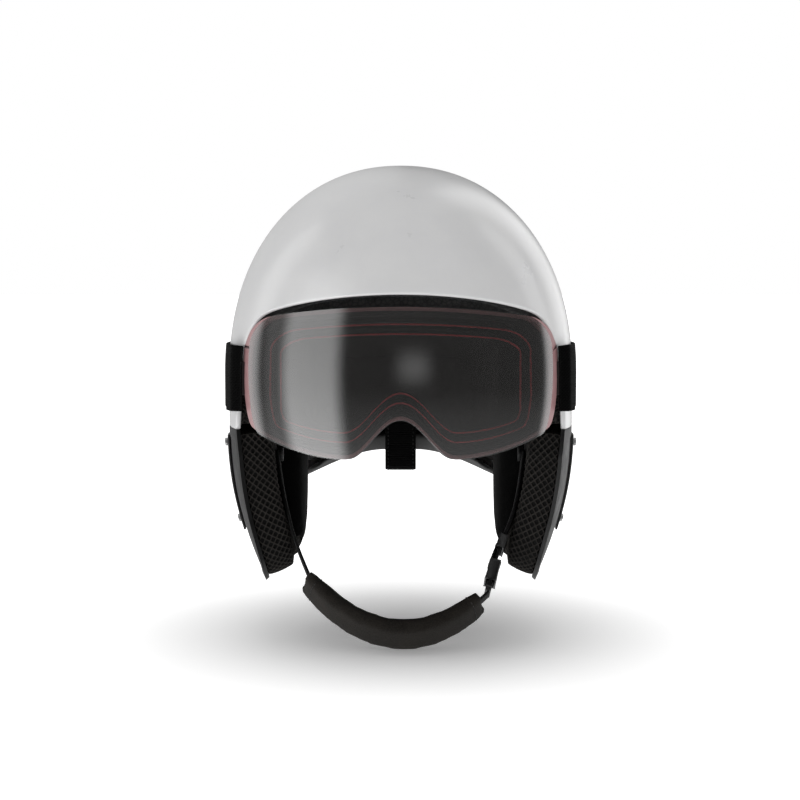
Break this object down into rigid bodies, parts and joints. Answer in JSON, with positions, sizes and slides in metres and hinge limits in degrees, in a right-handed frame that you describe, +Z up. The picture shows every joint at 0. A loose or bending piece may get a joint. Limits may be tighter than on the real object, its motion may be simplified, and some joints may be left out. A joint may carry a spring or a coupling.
{
  "type": "ski helmet with goggles",
  "caption": "White ski helmet with black padded ears, chin strap with buckle and padded sleeve, and smoke-lens goggles on an elastic strap.",
  "frame": {"origin": "on the line through the wearer's ear canals, midway between them", "axes": "+X towards the wearer's left, -Y the way the wearer faces, +Z up"},
  "size_m": [0.224, 0.2654, 0.2944],
  "materials": {
    "shell": "satin-gloss white shell, faintly mottled",
    "binding": "matt black edge binding",
    "foam_liner": "black expanded polystyrene beads",
    "liner_fabric": "dark grey knitted liner fabric",
    "ear_plastic": "dark grey moulded plastic",
    "grille": "near-black ribbed plastic",
    "mesh_fabric": "brown-black spacer mesh with diamond holes",
    "cushion_fabric": "smooth black brushed fabric",
    "steel": "plain steel",
    "webbing": "black woven webbing",
    "keeper_webbing": "black ribbed webbing",
    "pad_fabric": "brown-black matt sleeve fabric",
    "buckle_plastic": "black moulded acetal",
    "slider_plastic": "black moulded acetal",
    "frame": "black soft-touch frame",
    "face_foam": "black flocked face foam",
    "lens": "dark smoke mirrored lens",
    "gasket": "red seal",
    "inner_lens": "clear inner lens",
    "elastic": "black twill elastic"
  },
  "bodies": {
    "helmet": {"outer_shell": "shell", "rim_trim": "binding", "impact_liner": "foam_liner", "brow_pad": "liner_fabric", "crown_pad": "liner_fabric", "side_pads": "liner_fabric", "nape_pad": "liner_fabric", "strap_hangers": "steel", "goggle_strap": "elastic", "keeper_tab": "keeper_webbing", "snap_stud": "steel"},
    "ear_left": {"ear_shell_left": "ear_plastic", "ear_foam_left": "mesh_fabric", "ear_cushion_left": "cushion_fabric", "ear_grille_left": "grille", "ear_screws_left": "steel"},
    "ear_right": {"ear_shell_right": "ear_plastic", "ear_foam_right": "mesh_fabric", "ear_cushion_right": "cushion_fabric", "ear_grille_right": "grille", "ear_screws_right": "steel"},
    "chin_left": {"webbing_left": "webbing", "buckle_socket": "buckle_plastic"},
    "lock": {"ladder_lock": "buckle_plastic"},
    "chin_right": {"webbing_right": "webbing"},
    "pad": {"chin_pad": "pad_fabric", "pad_webbing": "webbing", "buckle_prong": "buckle_plastic"},
    "goggles": {"goggle_frame": "frame", "face_foam": "face_foam", "outrigger_left": "frame", "outrigger_right": "frame"},
    "lens": {"goggle_lens": "lens", "lens_gasket": "gasket", "inner_lens": "inner_lens"},
    "slider_left": {"strap_slider_left": "slider_plastic"},
    "slider_right": {"strap_slider_right": "slider_plastic"},
    "keeper": {"keeper_flap": "keeper_webbing", "snap_cap": "buckle_plastic"}
  },
  "joints": [
    {"name": "goggle_lift", "type": "hinge", "parent": "helmet", "child": "goggles", "pos_m": [0, -0.12, 0.077], "axis": [-1, 0, 0], "range_deg": [0, 60]},
    {"name": "lens_release", "type": "slide", "parent": "goggles", "child": "lens", "axis": [0, -1, 0], "range_m": [0, 0.012]},
    {"name": "ear_flex_left", "type": "hinge", "parent": "helmet", "child": "ear_left", "pos_m": [0.1078, 0, -0.0022], "axis": [0, -1, 0], "range_deg": [0, 12]},
    {"name": "ear_flex_right", "type": "hinge", "parent": "helmet", "child": "ear_right", "pos_m": [-0.1078, 0, -0.0022], "axis": [0, 1, 0], "range_deg": [0, 12]},
    {"name": "chin_swing_right", "type": "hinge", "parent": "helmet", "child": "chin_right", "pos_m": [-0.0763, -0.02, -0.02], "axis": [-1, 0, 0], "range_deg": [-3, 20]},
    {"name": "chin_swing_left", "type": "hinge", "parent": "helmet", "child": "chin_left", "pos_m": [0.0763, -0.02, -0.02], "axis": [-1, 0, 0], "range_deg": [-3, 20]},
    {"name": "chin_open", "type": "hinge", "parent": "chin_right", "child": "pad", "pos_m": [-0.057, -0.0514, -0.094], "axis": [0, 0.9205, -0.3907], "range_deg": [0, 60]},
    {"name": "strap_adjust", "type": "slide", "parent": "chin_left", "child": "lock", "axis": [0.3653, 0.3637, 0.8569], "range_m": [0, 0.006]},
    {"name": "slider_left_move", "type": "hinge", "parent": "helmet", "child": "slider_left", "pos_m": [-0.033, 0.0151, 0.03], "axis": [0, 0, 1], "range_deg": [-6, 6]},
    {"name": "slider_right_move", "type": "hinge", "parent": "helmet", "child": "slider_right", "pos_m": [0.033, 0.0151, 0.03], "axis": [0, 0, 1], "range_deg": [-6, 6]},
    {"name": "keeper_open", "type": "hinge", "parent": "helmet", "child": "keeper", "pos_m": [0, 0.1191, -0.037], "axis": [-1, 0, 0], "range_deg": [0, 110]}
  ],
  "couplings": [
    {"joint": "chin_swing_left", "follows": "chin_swing_right", "ratio": 1}
  ]
}
